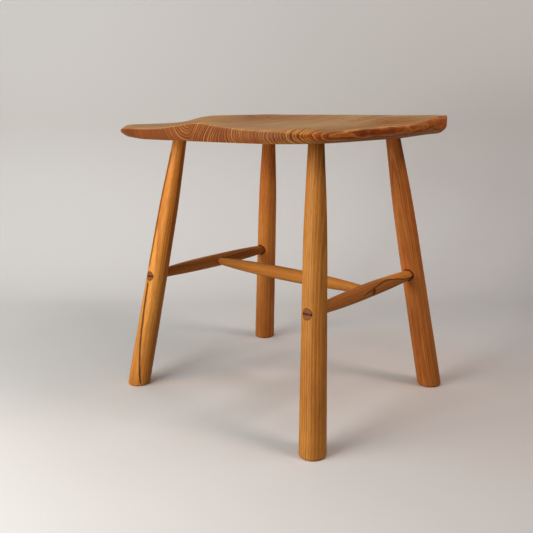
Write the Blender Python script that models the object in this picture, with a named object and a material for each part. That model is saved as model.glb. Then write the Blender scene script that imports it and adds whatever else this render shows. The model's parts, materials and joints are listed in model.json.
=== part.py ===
"""Wooden saddle stool: a carved two-board seat on four splayed legs, tied by an
H stretcher (two side stretchers and one centre stretcher).  All tenons run
through and are wedged.

Metres, +Z up, floor at z = 0.  The front, with the pommel, is towards -Y, and
left is towards -X.  The dimensions use a frame whose plane x = 0 is the joint
between the boards; the last step moves everything so that the origin lies
under the middle of the overall box."""
import bpy
import bmesh
import math
from collections import namedtuple
from mathutils import Vector, Matrix

for old in list(bpy.data.objects):
    bpy.data.objects.remove(old, do_unlink=True)

# ---------------------------------------------------------------- dimensions
GAP = 0.0003                 # clearance between pieces that fit together
ROUND_SEGMENTS = 24          # around every turned piece and bore
ORIGIN_SHIFT = (-0.00037, 0.02022, 0.0)

# Seat
SEAT_UNDER = 0.4191          # flat underside
SEAT_TOP = 0.4497            # highest line, the rear rim
SEAT_HALF_W = 0.2065         # half width at the widest place
SEAT_FRONT = 0.2153          # front edge to x axis
SEAT_REAR = 0.1490           # rear edge at its corners
SEAT_REAR_BOW = 0.0050       # how much the rear edge bows out at the middle
SEAT_REAR_HALF_W = 0.2002    # half width at the rear corners
SEAT_CORNER_Y = -0.0589      # where the front curve meets the sides
SEAT_CORNER_N = 4.86         # squareness of the front corners
SEAT_SIDE_POWER = 1.6        # how late the sides taper towards the rear
UNDERCUT_SIDE = 0.0104       # how far the lower edge is cut back along the sides
UNDERCUT_ENDS = 0.0030       # the same at the front and the rear

# Legs: hand-made, so not quite alike
Leg = namedtuple("Leg", "side end foot splay thickness rail_z")
LEGS = {  # foot centre x, y; run in x, y per unit of height; radius factor; rail height
    "front_left": Leg("left", "front", (-0.1907, -0.1749), (0.1272, 0.1601), 0.972, 0.1912),
    "front_right": Leg("right", "front", (0.1954, -0.1822), (-0.1193, 0.1605), 1.0, 0.1933),
    "rear_left": Leg("left", "rear", (-0.1947, 0.1562), (0.1376, -0.1133), 1.0, 0.1919),
    "rear_right": Leg("right", "rear", (0.1911, 0.1478), (-0.1424, -0.1122), 1.02, 0.1943),
}
LEG_PROFILE = (              # height, radius
    (0.0000, 0.0178), (0.0022, 0.0193), (0.0300, 0.0192), (0.0750, 0.0189),
    (0.1400, 0.0183), (0.2100, 0.0177), (0.2650, 0.0171), (0.3050, 0.0164),
    (0.3350, 0.0153), (0.3650, 0.0138), (0.3950, 0.0123), (0.4120, 0.0116))
LEG_NECK = (                 # the shoulder under the seat: height, radius
    (SEAT_UNDER - 0.0010, 0.0113), (SEAT_UNDER - GAP, 0.0109))
LEG_TENON_R = 0.0080
LEG_TENON_SUNK = 0.0002      # tenon end below the lowest seat surface around it
LEG_BORE_OVERRUN = 0.02      # bore beyond the seat, above and below

# Stretchers: radius at tenon, shoulder and mid length; belly steps and squareness
Stretcher = namedtuple("Stretcher", "tenon_r end_r mid_r steps power")
RAIL = Stretcher(tenon_r=0.0075, end_r=0.0079, mid_r=0.0112, steps=12, power=2.1)
CROSS = Stretcher(tenon_r=0.0052, end_r=0.0058, mid_r=0.0110, steps=14, power=2.4)
RAIL_REACH = 0.985           # tenon reach from the leg's axis, as share of its half depth
RAIL_SHOULDER_GAP = 0.0012
RAIL_BORE_HALF = 0.05        # half length of the bore through a leg
CROSS_REACH = 0.965          # tenon reach from the rail's axis, as share of its radius
CROSS_SHOULDER_GAP = 0.0006
CROSS_BORE_HALF = 0.04
CROSS_AT = 0.498             # place of the centre stretcher along the side ones

# Wedged tenon ends: wedge depth, kerf width at its mouth, half breadths of both
WedgeFit = namedtuple("WedgeFit", "depth kerf_width kerf_half wedge_half")
LEG_WEDGE = WedgeFit(depth=0.0130, kerf_width=0.0026, kerf_half=0.014, wedge_half=0.0070)
RAIL_WEDGE = WedgeFit(depth=0.0150, kerf_width=0.0026, kerf_half=0.014, wedge_half=0.0066)
CROSS_WEDGE = WedgeFit(depth=0.0100, kerf_width=0.0022, kerf_half=0.012, wedge_half=0.0045)
KERF_INNER_WIDTH = 0.0012
WEDGE_INNER_WIDTH = 0.0005
KERF_OVERRUN = 0.004         # kerf cutter beyond the tenon's end

# Carved top, each as y, height
ARRIS = (                    # outer upper edge
    (-0.215, 0.4335), (-0.170, 0.4336), (-0.142, 0.4344), (-0.097, 0.4352),
    (-0.041, 0.4364), (0.018, 0.4371), (0.042, 0.4379), (0.066, 0.4402),
    (0.093, 0.4440), (0.108, 0.4461), (0.130, 0.4488), (0.149, 0.4497))
CREST = (                    # top of the rim
    (-0.215, 0.4396), (-0.150, 0.4394), (-0.092, 0.4400), (-0.070, 0.4406),
    (-0.047, 0.4431), (-0.023, 0.4474), (0.000, 0.4494), (0.023, 0.4497),
    (0.149, 0.4497))
FLOOR = (                    # bottom of the hollow
    (-0.215, 0.4345), (-0.112, 0.4352), (-0.050, 0.4362), (0.000, 0.4374),
    (0.060, 0.4396), (0.100, 0.4420), (0.125, 0.4460), (0.149, 0.4494))
# Rise of the front edge, as x, rise: the pommel stands a little right of the middle
POMMEL = (
    (-0.207, 0.0), (-0.101, 0.0001), (-0.075, 0.0007), (-0.055, 0.0020),
    (-0.039, 0.0038), (-0.024, 0.0058), (-0.008, 0.0077), (0.006, 0.0091),
    (0.020, 0.0097), (0.032, 0.0091), (0.042, 0.0079), (0.055, 0.0063),
    (0.072, 0.0046), (0.095, 0.0027), (0.115, 0.0015), (0.140, 0.0007),
    (0.170, -0.0003), (0.207, -0.0008))

RIM_INSET = 0.080            # from the side edge to the foot of the rim's inner wall
RIM_WALL_W = 0.054           # plan width of that wall
RIM_FRONT_OVERRUN = 0.004    # the rim starts to rise this far ahead of the front edge
RIM_FRONT_RUN = 0.050        # and is at full height after this length
BEVEL_W = 0.027              # outer bevel, from the edge inwards
BEVEL_FRONT_LOSS = 0.012     # how much narrower the bevel is at the front
BEVEL_FRONT_Y = -0.130       # where it begins to narrow
BEVEL_FRONT_RUN = 0.05
POMMEL_FLAT = 0.020          # pommel at full height this far behind the front edge
POMMEL_FADE = 0.140          # and gone after this further length

REAR_LIFT = 0.0042           # rise of the lower edge towards the rear corners
NOSE_LIFT = 0.0024           # rise of the lower edge at the left front corner

# Seat mesh layout
FRONT_STEPS = 26
SIDE_STEPS = 14
REAR_STEPS = 10
JOINT_POINTS = 14            # along the joint between the boards
JOINT_MARGIN = 0.018         # keeps these points clear of the cut-back lower edge
FRONT_SPLIT = 0.84           # share of the half width stepped along x, the rest along y
BOARD_POLE = (SEAT_HALF_W * 0.5, -0.03)
TOP_RINGS = (0.30, 0.52, 0.68, 0.79, 0.87, 0.93, 0.97)   # share of the way to the edge
EDGE_ROWS = (                # share of the way down, share of the cut-back, extra inset
    (0.16, 0.0, -0.0004), (0.50, 0.08, -0.0002), (0.80, 0.52, 0.0), (1.0, 1.0, 0.0))
FLAT_INSET = 0.014           # lower edge to the flat of the underside
MERGE_DISTANCE = 0.00001

# ---------------------------------------------------------------- materials
SEAT_FINISH = dict(colour=(0.40, 0.19, 0.075), roughness=0.45)
LEG_FINISH = dict(colour=(0.52, 0.26, 0.075), roughness=0.42)
STRETCHER_FINISH = dict(colour=(0.50, 0.25, 0.08), roughness=0.42)
WEDGE_FINISH = dict(colour=(0.10, 0.035, 0.018), roughness=0.5)


def wood(name, colour, roughness):
    material = bpy.data.materials.new(name)
    material.use_nodes = True
    shader = material.node_tree.nodes["Principled BSDF"]
    shader.inputs["Base Color"].default_value = (*colour, 1.0)
    shader.inputs["Roughness"].default_value = roughness
    shader.inputs["Metallic"].default_value = 0.0
    material.diffuse_color = (*colour, 1.0)
    return material


# ---------------------------------------------------------------- objects
def link_mesh(name, bm):
    """Turn a bmesh into a linked object with outward normals."""
    bmesh.ops.recalc_face_normals(bm, faces=bm.faces[:])
    mesh = bpy.data.meshes.new(name)
    bm.to_mesh(mesh)
    bm.free()
    piece = bpy.data.objects.new(name, mesh)
    bpy.context.collection.objects.link(piece)
    return piece


def add_piece(name, bm, material, smooth=True):
    piece = link_mesh(name, bm)
    for polygon in piece.data.polygons:
        polygon.use_smooth = smooth
    piece.data.materials.append(material)
    return piece


def cut(piece, cutter_bm, name):
    """Subtract a hidden cutter; object and modifier share the name."""
    cutter = link_mesh(name, cutter_bm)
    cutter.hide_render = True
    cutter.display_type = 'WIRE'
    modifier = piece.modifiers.new(name, 'BOOLEAN')
    modifier.operation = 'DIFFERENCE'
    modifier.solver = 'EXACT'
    modifier.object = cutter


# ---------------------------------------------------------------- mesh helpers
def smooth01(t):
    t = min(1.0, max(0.0, t))
    return t * t * (3 - 2 * t)


def lerp_table(table, t):
    """Table value at t, halfway between straight and eased interpolation."""
    if t <= table[0][0]:
        return table[0][1]
    for (start, start_value), (end, end_value) in zip(table, table[1:]):
        if t <= end:
            k = (t - start) / (end - start)
            k = smooth01(k) * 0.5 + k * 0.5
            return start_value + (end_value - start_value) * k
    return table[-1][1]


def bridge_rings(bm, rings):
    for ring, following in zip(rings, rings[1:]):
        for i in range(len(ring)):
            k = (i + 1) % len(ring)
            bm.faces.new((ring[i], ring[k], following[k], following[i]))


def capped_tube(rings_of_points):
    bm = bmesh.new()
    rings = [[bm.verts.new(point) for point in ring] for ring in rings_of_points]
    bridge_rings(bm, rings)
    bm.faces.new(rings[0][::-1])
    bm.faces.new(rings[-1])
    return bm


def circle_directions():
    """Cosine and sine of each step round a turned piece."""
    angles = [2 * math.pi * i / ROUND_SEGMENTS for i in range(ROUND_SEGMENTS)]
    return [(math.cos(angle), math.sin(angle)) for angle in angles]


def leg_tube(leg, rows):
    """Rows of (height, radius) as horizontal circles on the leg's slanted axis."""
    rings = []
    for z, radius in rows:
        x = leg.foot[0] + leg.splay[0] * z
        y = leg.foot[1] + leg.splay[1] * z
        rings.append([(x + radius * c, y + radius * s, z) for c, s in circle_directions()])
    return capped_tube(rings)


def axis_frame(start, end):
    """Unit vectors along the axis, level across it, and square to both."""
    along = (end - start).normalized()
    across = Vector((0, 0, 1)).cross(along).normalized()
    upright = along.cross(across).normalized()
    return along, across, upright


def lathe(start, end, rows):
    """Rows of (distance from start towards end, radius)."""
    along, across, upright = axis_frame(start, end)
    rings = []
    for distance, radius in rows:
        centre = start + along * distance
        rings.append([centre + (across * c + upright * s) * radius
                      for c, s in circle_directions()])
    return capped_tube(rings)


def bore(piece, centre, direction, radius, half_length, name):
    """Cut a round through socket, with clearance round a tenon of this radius."""
    rows = [(0, radius + GAP), (2 * half_length, radius + GAP)]
    reach = direction * half_length
    cut(piece, lathe(centre - reach, centre + reach, rows), name)


def taper(tip, outward, wide, thick, half_breadth, outer_width, inner_width, depth,
          overrun=0.0):
    """Wedge-shaped solid from overrun outside the tip to depth inside it."""
    bm = bmesh.new()
    corners = []
    for offset, width in ((overrun, outer_width), (-depth, inner_width)):
        for side_w, side_t in ((-1, -1), (1, -1), (1, 1), (-1, 1)):
            corners.append(bm.verts.new(tip + outward * offset + wide * (side_w * half_breadth)
                                        + thick * (side_t * width / 2)))
    for face in ((0, 1, 2, 3), (7, 6, 5, 4), (0, 4, 5, 1),
                 (1, 5, 6, 2), (2, 6, 7, 3), (3, 7, 4, 0)):
        bm.faces.new([corners[i] for i in face])
    return bm


def wedge_tenon(piece, tip, outward, wide, thick, fit, kerf_name, wedge_name, wood_name):
    """Saw a kerf into a tenon's end and put a wedge in it."""
    outward = outward.normalized()
    cut(piece, taper(tip, outward, wide, thick, fit.kerf_half, fit.kerf_width,
                     KERF_INNER_WIDTH, fit.depth + 2 * GAP, overrun=KERF_OVERRUN), kerf_name)
    wedge = taper(tip, outward, wide, thick, fit.wedge_half, fit.kerf_width - 2 * GAP,
                  WEDGE_INNER_WIDTH, fit.depth)
    add_piece(wedge_name, wedge, wood(wood_name, **WEDGE_FINISH), smooth=False)


# ---------------------------------------------------------------- seat shape
def corner_curve(k):
    """Superellipse of the front corners, in shares of half width and depth."""
    return max(0.0, 1 - k ** SEAT_CORNER_N) ** (1 / SEAT_CORNER_N)


def rear_side_x(t):
    """Half width from the corner curve (t = 0) to the rear corner (t = 1)."""
    return SEAT_HALF_W - (SEAT_HALF_W - SEAT_REAR_HALF_W) * t ** SEAT_SIDE_POWER


def side_x(y):
    if y < SEAT_CORNER_Y:
        k = min(1.0, max(0.0, (SEAT_CORNER_Y - y) / (SEAT_FRONT + SEAT_CORNER_Y)))
        return SEAT_HALF_W * corner_curve(k)
    return rear_side_x(min(1.0, (y - SEAT_CORNER_Y) / (SEAT_REAR - SEAT_CORNER_Y)))


def half_outline():
    """Right half of the plan, from the front middle round to the rear middle."""
    points = []
    depth = SEAT_FRONT + SEAT_CORNER_Y
    x_steps = FRONT_STEPS // 2
    y_steps = FRONT_STEPS - x_steps
    for i in range(x_steps + 1):               # nearly straight front
        k = FRONT_SPLIT * i / x_steps
        points.append((SEAT_HALF_W * k, SEAT_CORNER_Y - depth * corner_curve(k)))
    for i in range(1, y_steps + 1):            # corner
        k = corner_curve(FRONT_SPLIT) * (1 - i / y_steps)
        points.append((SEAT_HALF_W * corner_curve(k), SEAT_CORNER_Y - depth * k))
    for i in range(1, SIDE_STEPS + 1):
        t = i / SIDE_STEPS
        points.append((rear_side_x(t), SEAT_CORNER_Y + (SEAT_REAR - SEAT_CORNER_Y) * t))
    for i in range(1, REAR_STEPS + 1):
        x = SEAT_REAR_HALF_W * (1 - i / REAR_STEPS)
        points.append((x, SEAT_REAR + SEAT_REAR_BOW * (1 - (x / SEAT_REAR_HALF_W) ** 2)))
    return points


def seat_top(x, y):
    """Height of the carved top."""
    inset = side_x(y) - abs(x)
    behind_front = y + SEAT_FRONT
    floor = lerp_table(FLOOR, y)
    # inner wall from the floor up to the rim crest
    wall = (smooth01((RIM_INSET - inset) / RIM_WALL_W)
            * smooth01((behind_front + RIM_FRONT_OVERRUN) / RIM_FRONT_RUN))
    z = floor + (lerp_table(CREST, y) - floor) * wall
    # outer bevel down to the arris
    narrowing = smooth01((BEVEL_FRONT_Y - y) / BEVEL_FRONT_RUN)
    bevel = smooth01(1.0 - inset / (BEVEL_W - BEVEL_FRONT_LOSS * narrowing))
    z += (lerp_table(ARRIS, y) - z) * bevel
    # the pommel fades out towards the middle of the seat
    z += lerp_table(POMMEL, x) * (1.0 - smooth01((behind_front - POMMEL_FLAT) / POMMEL_FADE))
    return min(z, SEAT_TOP)


def under_z(x, y):
    """Height of the lower edge, raised at the rear corners and the left front corner."""
    outer = min(1.2, max(0.0, (abs(x) - 0.150) / 0.050))
    rear = smooth01((y - 0.020) / 0.120) * outer ** 2
    nose = smooth01((-0.098 - x) / 0.050) * smooth01((-0.110 - y) / 0.060)
    return SEAT_UNDER + REAR_LIFT * rear + NOSE_LIFT * nose


def inward_normal(outline, j):
    if j == 0:
        return 0.0, 1.0
    if j == len(outline) - 1:
        return 0.0, -1.0
    (x0, y0), (x1, y1) = outline[j - 1], outline[j + 1]
    length = math.hypot(x1 - x0, y1 - y0)
    return -(y1 - y0) / length, (x1 - x0) / length


# Point of a board's plan: place, inward normal, full cut-back, inset of the flat
RimPoint = namedtuple("RimPoint", "x y nx ny cutback flat_inset")


def board_rim():
    """Closed plan of the right board: its outline, then back along the joint."""
    outline = half_outline()
    rim = []
    for j, (x, y) in enumerate(outline):
        nx, ny = inward_normal(outline, j)
        flank = smooth01((-nx - 0.10) / 0.50) * (1.0 - smooth01((-ny - 0.30) / 0.50))
        cutback = UNDERCUT_ENDS + (UNDERCUT_SIDE - UNDERCUT_ENDS) * flank
        at_joint = j in (0, len(outline) - 1)
        rim.append(RimPoint(max(x, GAP / 2), y, nx, ny, cutback,
                            0.0 if at_joint else FLAT_INSET))
    rear_y = outline[-1][1] - JOINT_MARGIN
    front_y = outline[0][1] + JOINT_MARGIN
    for i in range(JOINT_POINTS):
        y = rear_y + (front_y - rear_y) * i / (JOINT_POINTS - 1)
        rim.append(RimPoint(GAP / 2, y, 0.0, 0.0, 0.0, 0.0))
    return rim


def moved_in(point, distance):
    return max(point.x + point.nx * distance, GAP / 2), point.y + point.ny * distance


def build_board(side, sign):
    """One seat board: rings from a pole on top, over the edge, to a pole below."""
    rim = board_rim()
    pole_x, pole_y = BOARD_POLE
    bm = bmesh.new()

    def top_vert(x, y):
        return bm.verts.new((sign * x, y, seat_top(sign * x, y)))

    top_pole = top_vert(pole_x, pole_y)
    rings = [[top_vert(pole_x + (p.x - pole_x) * share, pole_y + (p.y - pole_y) * share)
              for p in rim] for share in TOP_RINGS]
    rings.append([top_vert(p.x, p.y) for p in rim])
    for down, cut_share, extra in EDGE_ROWS:
        ring = []
        for p in rim:
            x, y = moved_in(p, extra + cut_share * p.cutback)
            upper, lower = seat_top(sign * p.x, p.y), under_z(sign * p.x, p.y)
            ring.append(bm.verts.new((sign * x, y, upper + (lower - upper) * down)))
        rings.append(ring)
    flat = []
    for p in rim:
        x, y = moved_in(p, p.flat_inset + p.cutback)
        flat.append(bm.verts.new((sign * x, y, SEAT_UNDER)))
    rings.append(flat)

    bridge_rings(bm, rings)
    count = len(rim)
    for j in range(count):
        bm.faces.new((top_pole, rings[0][j], rings[0][(j + 1) % count]))
    low_pole = bm.verts.new((sign * pole_x, pole_y, SEAT_UNDER))
    for j in range(count):
        bm.faces.new((low_pole, flat[(j + 1) % count], flat[j]))
    bmesh.ops.remove_doubles(bm, verts=bm.verts[:], dist=MERGE_DISTANCE)
    bmesh.ops.triangulate(bm, faces=bm.faces[:])
    return add_piece("seat_board_" + side, bm, wood("seat_wood_" + side, **SEAT_FINISH))


# ---------------------------------------------------------------- legs
def leg_point(leg, z):
    return Vector((leg.foot[0] + leg.splay[0] * z, leg.foot[1] + leg.splay[1] * z, z))


def leg_axis(leg):
    return Vector((*leg.splay, 1.0)).normalized()


def tenon_top(leg):
    """Height of the tenon's level end, just below the seat surface around it."""
    top = leg_point(leg, SEAT_TOP)
    offsets = (-LEG_TENON_R, 0, LEG_TENON_R)
    return min(seat_top(top.x + dx, top.y + dy)
               for dx in offsets for dy in offsets) - LEG_TENON_SUNK


def build_leg(name, leg, board, rail_line):
    top_z = tenon_top(leg)
    rows = [(z, radius * leg.thickness) for z, radius in LEG_PROFILE + LEG_NECK]
    rows += [(SEAT_UNDER - GAP, LEG_TENON_R), (top_z, LEG_TENON_R)]
    piece = add_piece("leg_" + name, leg_tube(leg, rows), wood("leg_wood_" + name, **LEG_FINISH))

    bore_rows = [(SEAT_UNDER - LEG_BORE_OVERRUN, LEG_TENON_R + GAP),
                 (SEAT_TOP + LEG_BORE_OVERRUN, LEG_TENON_R + GAP)]
    cut(board, leg_tube(leg, bore_rows), "cut_seat_" + name)

    # the wedge's breadth runs along x, squared to the leg
    axis = leg_axis(leg)
    wide = Vector((1, 0, 0))
    wide = (wide - axis * wide.dot(axis)).normalized()
    wedge_tenon(piece, leg_point(leg, top_z), axis, wide, axis.cross(wide), LEG_WEDGE,
                "cut_kerf_" + name, "wedge_seat_" + name, "wedge_wood_seat_" + name)

    centre = rail_line.front if leg.end == "front" else rail_line.rear
    bore(piece, centre, rail_line.direction, RAIL.tenon_r, RAIL_BORE_HALF, "cut_rail_" + name)


# ---------------------------------------------------------------- stretchers
# Side stretcher axis: where it crosses the leg axes, and its reach beyond them
RailLine = namedtuple("RailLine", "front rear direction front_reach rear_reach")


def rail_reach(leg, direction):
    """Distance from the leg's axis to nearly its surface, along the rail."""
    radius = lerp_table(LEG_PROFILE, leg.rail_z) * leg.thickness
    return radius * RAIL_REACH / math.sqrt(1 - leg_axis(leg).dot(direction) ** 2)


def find_rail_line(side):
    front_leg, rear_leg = LEGS["front_" + side], LEGS["rear_" + side]
    front = leg_point(front_leg, front_leg.rail_z)
    rear = leg_point(rear_leg, rear_leg.rail_z)
    direction = (rear - front).normalized()
    return RailLine(front, rear, direction,
                    rail_reach(front_leg, direction), rail_reach(rear_leg, direction))


def build_stretcher(name, wood_name, shape, start, end, start_tenon, end_tenon):
    """Bellied round bar between two shoulders, with a tenon at each end."""
    length = (end - start).length
    first, last = start_tenon, length - end_tenon
    rows = [(0, shape.tenon_r), (first, shape.tenon_r), (first, shape.end_r)]
    for i in range(1, shape.steps):
        t = i / shape.steps
        belly = 1 - abs(2 * t - 1) ** shape.power
        rows.append((first + (last - first) * t,
                     shape.end_r + (shape.mid_r - shape.end_r) * belly))
    rows += [(last, shape.end_r), (last, shape.tenon_r), (length, shape.tenon_r)]
    return add_piece(name, lathe(start, end, rows), wood(wood_name, **STRETCHER_FINISH))


def build_side_stretcher(side, line):
    start = line.front - line.direction * line.front_reach
    end = line.rear + line.direction * line.rear_reach
    piece = build_stretcher("side_stretcher_" + side, "side_stretcher_wood_" + side, RAIL,
                            start, end, 2 * line.front_reach + RAIL_SHOULDER_GAP,
                            2 * line.rear_reach + RAIL_SHOULDER_GAP)
    _, across, upright = axis_frame(start, end)
    for tag, tip, outward in (("front", start, -line.direction), ("rear", end, line.direction)):
        wedge_tenon(piece, tip, outward, across, upright, RAIL_WEDGE,
                    f"cut_kerf_rail_{side}_{tag}", f"wedge_stretcher_{tag}_{side}",
                    f"wedge_wood_{tag}_{side}")
    return piece


def build_centre_stretcher(rail_lines, rails):
    left, right = (rail_lines[side].front.lerp(rail_lines[side].rear, CROSS_AT)
                   for side in ("left", "right"))
    direction = (right - left).normalized()
    reach = RAIL.mid_r * CROSS_REACH
    start, end = left - direction * reach, right + direction * reach
    tenon = 2 * RAIL.mid_r + CROSS_SHOULDER_GAP
    piece = build_stretcher("centre_stretcher", "centre_stretcher_wood", CROSS,
                            start, end, tenon, tenon)
    _, across, upright = axis_frame(start, end)
    for side, centre, tip, outward in (("left", left, start, -direction),
                                       ("right", right, end, direction)):
        # these wedges stand upright
        wedge_tenon(piece, tip, outward, upright, across, CROSS_WEDGE,
                    "cut_kerf_cross_" + side, "wedge_centre_" + side,
                    "wedge_wood_centre_" + side)
        bore(rails[side], centre, direction, CROSS.tenon_r, CROSS_BORE_HALF,
             "cut_cross_" + side)


# ---------------------------------------------------------------- assembly
boards = {side: build_board(side, sign) for side, sign in (("left", -1), ("right", 1))}
rail_lines = {side: find_rail_line(side) for side in ("left", "right")}
for leg_name, leg in LEGS.items():
    build_leg(leg_name, leg, boards[leg.side], rail_lines[leg.side])
rails = {side: build_side_stretcher(side, line) for side, line in rail_lines.items()}
build_centre_stretcher(rail_lines, rails)

for piece in bpy.data.objects:
    piece.data.transform(Matrix.Translation(ORIGIN_SHIFT))
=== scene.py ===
"""Wooden saddle stool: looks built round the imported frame.

Metres, +Z up, front towards -Y, left towards -X.  The pieces are laid out with the seat's
glue joint at x = 0 and the floor at z = 0, then moved by OFFSET to the frame's place.
"""

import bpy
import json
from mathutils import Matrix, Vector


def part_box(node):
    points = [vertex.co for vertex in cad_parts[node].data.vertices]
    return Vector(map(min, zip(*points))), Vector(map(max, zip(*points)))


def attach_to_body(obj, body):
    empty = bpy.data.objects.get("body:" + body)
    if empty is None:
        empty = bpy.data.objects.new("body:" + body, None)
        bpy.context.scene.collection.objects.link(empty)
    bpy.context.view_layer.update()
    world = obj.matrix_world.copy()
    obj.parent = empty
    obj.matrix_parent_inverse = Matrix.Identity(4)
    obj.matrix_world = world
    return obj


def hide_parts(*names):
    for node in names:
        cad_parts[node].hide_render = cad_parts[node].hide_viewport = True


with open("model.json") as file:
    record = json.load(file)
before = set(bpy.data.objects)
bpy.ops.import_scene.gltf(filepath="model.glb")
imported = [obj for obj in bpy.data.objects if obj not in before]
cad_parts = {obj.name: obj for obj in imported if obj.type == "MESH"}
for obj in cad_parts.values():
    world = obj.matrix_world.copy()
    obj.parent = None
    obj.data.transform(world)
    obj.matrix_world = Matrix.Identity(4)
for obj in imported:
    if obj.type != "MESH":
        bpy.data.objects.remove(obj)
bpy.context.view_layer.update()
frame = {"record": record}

import json
import math
from collections import namedtuple
from types import SimpleNamespace

import bmesh
import bpy
import numpy as np
from mathutils import Matrix, Vector

# ------------------------------------------------------------------ seat sizes
GAP = 0.0003                    # between the two boards, and between leg shoulder and seat
SEAT_UNDER = 0.4191
SEAT_TOP = 0.4497
HALF_W = 0.2065
FRONT = 0.2153                  # front edge lies at y = -FRONT
REAR = 0.1490                   # y of the rear corners
REAR_BOW = 0.0050               # how far the rear edge swells past its corners
REAR_HALF_W = 0.2002
REAR_TAPER = 1.6                # power of the side's narrowing towards the rear
REAR_CORNER_R = 0.0022
CORNER_Y = -0.0589              # where the sides start to turn into the front corners
CORNER_N = 4.86                 # superellipse power of the front corners
JOINT_X = GAP / 2 * 0.35
ACROSS, ALONG = 74, 96          # grid points of a board's faces

_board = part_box("seat_board_left")
OFFSET = np.array([_board[1][0] + GAP / 2, _board[0][1] + FRONT + 0.0004, 0.0])

# ------------------------------------------------------------------ leg sizes
LEG_NAMES = ("front_left", "front_right", "rear_left", "rear_right")
MOUNT = {mount["name"]: mount["pos_m"] for mount in frame["record"]["mounts"]}
FOOT = {leg: (MOUNT["foot_" + leg][0] - OFFSET[0], MOUNT["foot_" + leg][1] - OFFSET[1])
        for leg in LEG_NAMES}
# lean of each leg: x and y travelled for each metre of height
SPLAY = {"front_left": (0.1272, 0.1601), "front_right": (-0.1193, 0.1605),
         "rear_left": (0.1376, -0.1133), "rear_right": (-0.1424, -0.1122)}
THICK = {"front_left": 0.972, "front_right": 1.0, "rear_left": 1.0, "rear_right": 1.02}
# height, radius
LEG_R = ((0.000, 0.0193), (0.030, 0.0192), (0.075, 0.0189), (0.140, 0.0183), (0.210, 0.0177),
         (0.265, 0.0171), (0.305, 0.0164), (0.335, 0.0153), (0.365, 0.0138), (0.395, 0.0123),
         (0.420, 0.0112))
TENON_R = 0.0080

# ------------------------------------------------------------------ stretcher sizes
# height at which a side stretcher meets each leg
RAIL_Z = {"front_left": 0.1912, "rear_left": 0.1919, "front_right": 0.1933, "rear_right": 0.1943}
RAIL_PHASE = {"left": 0.4, "right": 1.1}        # turn of the flats round each rail
RAIL_SHOULDER = 0.0178          # from the joint centre to the end of the thin tenon
RAIL_TENON_R = 0.0075
RAIL_END_R = 0.0079
RAIL_MID_R = 0.0112
RAIL_PROUD = 0.00012            # how far the rail's ends stand out of the legs
CROSS_TENON_R = 0.0052
CROSS_END_R = 0.0058
CROSS_MID_R = 0.0110
CROSS_PROUD = 0.0001
CROSS_AT = 0.498                # fraction of the side stretchers, from the front
CROSS_SHOULDER = RAIL_MID_R + 0.0002

# ------------------------------------------------------------------ wedge sizes
KERF = 0.0026
# slot: half width, outer and inner thickness, depth, run past the surface
# wedge: half width, outer and inner thickness, depth;  proud: stand above the surface
Wedging = namedtuple("Wedging", "slot wedge proud")
SEAT_WEDGE = Wedging(slot=(0.014, KERF - 0.0004, 0.0010, 0.0136, 0.004),
                     wedge=(0.0074, KERF - 0.0006, 0.0005, 0.0130), proud=0.00022)
RAIL_WEDGE = Wedging(slot=(0.014, KERF + 0.0003, 0.0012, 0.0156, 0.005),
                     wedge=(0.0069, KERF + 0.0001, 0.0007, 0.0150), proud=0.00022)
CROSS_WEDGE = Wedging(slot=(0.012, KERF - 0.0010, 0.0008, 0.0106, 0.004),
                      wedge=(0.0047, KERF - 0.0012, 0.0005, 0.0100), proud=0.0002)

# angles in degrees above which an edge is shaded sharp
SHARP_SEAT, SHARP_LEG, SHARP_RAIL, SHARP_WEDGE = 50, 40, 38, 35


# ------------------------------------------------------------------ helpers
def smooth_table(points, sigma):
    """Piecewise table -> smooth function, by a Gaussian average of fixed width."""
    xs = np.array([point[0] for point in points])
    ys = np.array([point[1] for point in points])
    start, end = xs[0] - 4 * sigma, xs[-1] + 4 * sigma
    grid = np.linspace(start, end, int((end - start) / (sigma / 6)) + 1)
    # straight extension past the ends, so that the ends aren't pulled in
    values = np.interp(grid, xs, ys)
    slope0 = (ys[1] - ys[0]) / (xs[1] - xs[0])
    slope1 = (ys[-1] - ys[-2]) / (xs[-1] - xs[-2])
    values = np.where(grid < xs[0], ys[0] + slope0 * (grid - xs[0]), values)
    values = np.where(grid > xs[-1], ys[-1] + slope1 * (grid - xs[-1]), values)
    steps = np.arange(-18, 19) * (grid[1] - grid[0])
    weights = np.exp(-0.5 * (steps / sigma) ** 2)
    weights /= weights.sum()
    averaged = np.convolve(np.pad(values, 18, mode="edge"), weights, mode="valid")
    return lambda t: np.interp(t, grid, averaged)


def ease(t):
    """Smooth step from 0 to 1."""
    t = np.clip(t, 0.0, 1.0)
    return t * t * (3 - 2 * t)


def flats(angle, count, level):
    """Ripple of a round section shaved into a number of soft flats."""
    turn = ((angle * count / (2 * math.pi)) % 1.0) - 0.5
    return math.cos(math.pi / count) / np.cos(turn * 2 * math.pi / count) - level


def bisect(inside, high, steps):
    """Largest distance from 0 to high that is still inside."""
    low = 0.0
    for _ in range(steps):
        middle = (low + high) / 2
        if inside(middle):
            low = middle
        else:
            high = middle
    return low


def link(name, data):
    obj = bpy.data.objects.new(name, data)
    bpy.context.collection.objects.link(obj)
    return obj


def mesh_object(name, mesh):
    data = bpy.data.meshes.new(name)
    mesh.to_mesh(data)
    mesh.free()
    return link(name, data)


def finish_shading(obj, sharp):
    for polygon in obj.data.polygons:
        polygon.use_smooth = True
    obj.data.set_sharp_from_angle(angle=math.radians(sharp))


def make_object(name, mesh, sharp):
    bmesh.ops.remove_doubles(mesh, verts=mesh.verts[:], dist=1e-6)
    bmesh.ops.recalc_face_normals(mesh, faces=mesh.faces[:])
    bmesh.ops.translate(mesh, verts=mesh.verts[:], vec=Vector(OFFSET))
    obj = mesh_object(name, mesh)
    finish_shading(obj, sharp)
    return obj


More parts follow.
